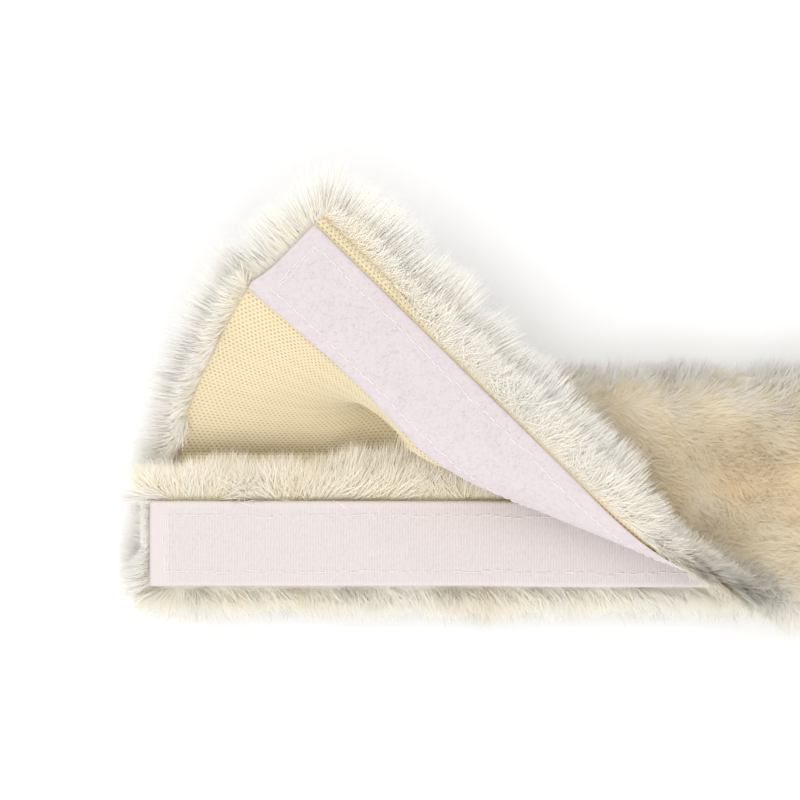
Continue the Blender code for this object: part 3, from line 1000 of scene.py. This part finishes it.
def edge_pile():
    """The pile that stands out past the panel's edges and ends."""
    rng = np.random.default_rng(202)
    # The free edge's fringe is tinted 0.9, near the grey end of the tints: painted shade on the outline.
    for edge, direction, tint, deep in ((FREE_EDGE, -1, 0.9, 8 * MM), (V_END, 1, 0.6, 3 * MM)):
        count = int(FEW * 36 * 600)  # 36 to the millimetre
        x = rng.uniform(X_START, X_END, count)
        inward = deep * rng.uniform(0, 1, count) ** 1.6
        v = edge - direction * inward
        near = 1 - inward / deep
        if direction < 0:
            longer = 1 - smooth(150 * MM, 215 * MM, x - X_START)
        else:
            longer = 0.5 + 0.5 * WAVE_X(x, x * 0)
        fringe("edge", rng, x, v, {
            "length": (11 + 3 * near + 13 * longer + 3 * LENGTHS(x * 0.7, x * 0)) * MM,
            "lean_x": 0.15 + 0.4 * WAVE_X(x, v) - 1.6 * smooth(16 * MM, 0, x - X_START),
            "lean_v": direction * (0.6 + 1.7 * near),
            "rise": 0.8 - 0.75 * near * rng.uniform(0.2, 1.2, count),
            "wild": 0.24, "tint": tint, "pale": 0.3,
        })
    for edge, direction in ((X_START, -1), (X_END, 1)):
        count = int(FEW * 32 * (V_END - FREE_EDGE) * 1000)  # 32 to the millimetre
        v = rng.uniform(FREE_EDGE, V_END, count)
        taped = (v > HOOK_LOW_V) & (v < HOOK_TOP_V + 0.5 * MM)
        deep = np.where(taped, 0.4 * MM, 8 * MM)
        inward = deep * rng.uniform(0, 1, count) ** 1.6
        near = 1 - inward / deep
        lap = smooth(V_BACK + 45 * MM, V_BACK + 75 * MM, v)
        bare = smooth(V_BOTTOM - 55 * MM, V_BOTTOM - 40 * MM, v)
        bare = bare * smooth(V_BOTTOM - 6 * MM, V_BOTTOM - 22 * MM, v)
        low = smooth(HOOK_LOW_V + 20 * MM, HOOK_LOW_V + 4 * MM, v)
        # The ends' fringe is tinted 0.92, towards grey: painted shade on the outline.
        fringe("ends", rng, edge - direction * inward, v, {
            "length": np.where(taped, 5 + 8 * low, 17 + 7 * near - 6 * lap - 6 * bare) * MM,
            "lean_x": direction * (0.6 + 1.7 * near),
            "lean_v": 0.3 * WAVE_V(v, v) - 1.6 * smooth(16 * MM, 0, v - FREE_EDGE),
            "rise": 0.8 - 0.75 * near * rng.uniform(0.2, 1.2, count),
            "wild": 0.24, "tint": 0.92, "pale": 0.3,
        })

    # The free edge's pile falls over the place where the closure starts.
    count = int(FEW * 11000)
    x = FOOT[0] + MM * rng.uniform(-22, 56, count)
    fringe("edge", rng, x, FREE_EDGE + 14 * MM * rng.uniform(0, 1, count) ** 1.2, {
        "length": 15 * MM, "lean_x": -0.2, "lean_v": -0.8, "rise": 0.7, "wild": 0.3,
        "tint": 0.76, "pale": 0.4,
    })
    count = int(FEW * 5000)
    x = FOOT[0] + MM * rng.uniform(-8, 75, count)
    fringe("edge", rng, x, FREE_EDGE + 1.5 * MM * rng.uniform(0, 1, count), {
        "length": 10 * MM, "lean_x": 0.1, "lean_v": -1.5, "rise": 0.35, "wild": 0.3,
        "tint": 0.76, "pale": 0.4,
    })

    # Away from the corner the pile bulges over the free edge and hides the knit beside the tape.
    count = int(FEW * 12000)
    x = X_START + rng.uniform(50 * MM, 240 * MM, count)
    x = x[rng.uniform(size=count) < smooth(X_START + 50 * MM, X_START + 95 * MM, x)]
    cover = LOOP[0].y - FREE_EDGE - 0.4 * MM
    fringe("edge", rng, x, FREE_EDGE + cover * rng.uniform(0, 1, len(x)) ** 0.7, {
        "length": (7 + 12 * rng.uniform(0, 1, len(x))) * MM, "lean_x": 0.1, "lean_v": -1.0,
        "rise": -0.3 - 0.4 * rng.uniform(0, 1, len(x)), "wild": 0.25, "tint": 0.76, "pale": 0.3,
    })

    # Short pile that curls over the peeled edges, onto the knit's side.
    count = int(FEW * 5500)
    x = X_START + 270 * MM * rng.uniform(0, 1, count)
    fringe("edge", rng, x, FREE_EDGE + 0.3 * MM * rng.uniform(0, 1, count), {
        "length": (5 + 8 * rng.uniform(0, 1, count)) * MM, "lean_x": 0.2, "lean_v": -0.9,
        "rise": -0.35 - 0.45 * rng.uniform(0, 1, count), "wild": 0.3, "tint": 0.75,
    })
    count = int(FEW * 3500)
    v = rng.uniform(FREE_EDGE + 42 * MM, V_BACK + 60 * MM, count)
    fringe("ends", rng, X_START + 0.3 * MM * rng.uniform(0, 1, count), v, {
        "length": (5 + 9 * rng.uniform(0, 1, count)) * MM, "lean_x": -0.8,
        "lean_v": 0.3 * WAVE_V(v, v), "rise": -0.35 - 0.45 * rng.uniform(0, 1, count),
        "wild": 0.3, "tint": 0.75,
    })


def undercoat():
    """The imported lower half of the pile, as one surface that ends in the panel's edges."""
    step = 2.5 * MM
    xs = np.linspace(X_START, X_END, int((X_END - X_START) / step))
    vs = np.linspace(FREE_EDGE, V_LAP, int((V_LAP - FREE_EDGE) / step))
    x, v = (c.ravel() for c in np.meshgrid(xs, vs, indexing="ij"))
    inner = np.minimum(np.minimum(x - X_START, X_END - x), v - FREE_EDGE)
    taper = smooth(-1 * MM, 7 * MM, inner) * smooth(-0.5 * MM, 4 * MM, HOOK_LOW_V - v)
    rough = 0.9 * LOCK_X(x, v) + 0.9 * LOCK_V(x, v) + 0.8 * WAVE_X(x, v)
    under = smooth(V_BACK - 6 * MM, V_BACK + 4 * MM, v) * smooth(V_BOTTOM + 4 * MM, V_BOTTOM - 6 * MM, v)
    lift = taper * (6.6 * MM + 0.6 * rough * MM + 4 * MM * under) + 0.7 * MM
    place, _ = surface(x, v, lift)
    place[:, 2] = np.maximum(place[:, 2], TABLE_GAP)
    # Paler towards and round the bottom fold: painted light that lifts the shade of the pockets beside the
    # hook tape.
    low = smooth(V_BOTTOM - 10 * MM, V_BOTTOM + 6 * MM, v)
    tint = np.clip(0.36 + 0.1 * TINTS(x, v) + 0.3 * low, 0, 1)
    uv = np.stack([tint, np.clip(0.2 + 0.1 * rough / 2.6 + 0.4 * low, 0, 1)], axis=-1)
    quads = grid_quads(len(xs), len(vs))
    heights = sample(PLACES, x, v)[:, 2]
    for name, chosen in by_roots(heights[quads].mean(axis=1)).items():
        used, index = np.unique(quads[chosen], return_inverse=True)
        piece = mesh_object(f"undercoat_{name}", place[used], index.reshape(-1, 4), uv=uv[used])
        ride_part(piece, "field", name, heights[used])


# The CAD solids that each group of pile stands for where it rides on the sleeve.
STANDS_FOR = {
    "field": ("front_fleece", "top_fold_fleece"),
    "far": ("front_fleece", "top_fold_fleece"),
    "edge": ("front_fleece", "lap_fleece"),
    "ends": ("back_fleece",),
    "back": ("back_fleece",),
    "bottom": ("bottom_fold_fleece",),
    "lap": ("lap_fleece",),
}


def hang_by_roots(piece, heights, hang):
    """Hangs a piece while its points stand at their roots' heights, then puts the points back."""
    vertices = piece.data.vertices
    places = np.empty(len(vertices) * 3, np.float32)
    vertices.foreach_get("co", places)
    rooted = places.reshape(-1, 3).copy()
    rooted[:, 2] = heights
    vertices.foreach_set("co", rooted.ravel())
    hang(piece)
    vertices.foreach_set("co", places)
    piece.data.update()


def ride_part(piece, group, name, heights):
    """Gives a piece of pile its look, and attaches it to a body, or hangs it by its roots' heights if it
    grows on the roll.
    """
    piece.data.materials.append(FLEECE)
    if name == "low":
        hang_by_roots(piece, heights, hang_low)
        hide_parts("roll_fleece")
    elif name == "high":
        hang_by_roots(piece, heights, hang_high)
        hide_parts("roll_fleece")
    else:
        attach(piece, name)
        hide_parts(*(("flap_fleece",) if name == "flap" else STANDS_FOR[group]))


def plant():
    """Makes the filed strands into pieces."""
    for (group, name), batches in PIECES.items():
        points, quads, tris, uv, normals, heights = zip(*batches)
        shifts = np.cumsum([0] + [len(own) for own in points[:-1]])
        piece = mesh_object(
            f"pile_{group}_{name}",
            np.concatenate(points),
            np.concatenate([own + shift for own, shift in zip(quads, shifts)]),
            np.concatenate([own + shift for own, shift in zip(tris, shifts)]),
            uv=np.concatenate(uv),
            normals=np.concatenate(normals),
        )
        ride_part(piece, group, name, np.concatenate(heights))


field_pile()
edge_pile()
undercoat()
plant()

# ---- stage
bpy.ops.mesh.primitive_plane_add(size=40)
floor = bpy.context.object
floor.name = "floor"
floor.data.materials.append(plain_material("floor", (0.95, 0.95, 0.95), 0.9))

world = bpy.data.worlds.new("studio")
bpy.context.scene.world = world
world.use_nodes = True
world.node_tree.nodes["Background"].inputs["Color"].default_value = (1, 1, 1, 1)
world.node_tree.nodes["Background"].inputs["Strength"].default_value = 1.0


def area_light(name, place, size, energy, target):
    data = bpy.data.lights.new(name, "AREA")
    data.size = size
    data.energy = energy
    lamp = bpy.data.objects.new(name, data)
    bpy.context.scene.collection.objects.link(lamp)
    lamp.location = place
    aim = np.array(target) - np.array(place)
    lamp.rotation_euler = Vector(aim).to_track_quat("-Z", "Y").to_euler()


area_light("key", (-0.9, 0.8, 1.5), 1.0, 7, (-0.15, 0, 0))
area_light("fill", (-0.2, -1.1, 1.3), 1.2, 8, (-0.1, 0, 0))

# The photograph looks straight down on the peeled end from about a metre.
camera = bpy.data.objects.new("camera", bpy.data.cameras.new("camera"))
bpy.context.scene.collection.objects.link(camera)
camera.data.lens = 100.7
camera.data.sensor_width = 36
camera.data.clip_start = 0.01
camera.location = (X_START + 0.1118, Y_BOTTOM - 0.0057 + 0.0858, 1.027)
bpy.context.scene.camera = camera
bpy.context.scene.view_settings.view_transform = "Standard"
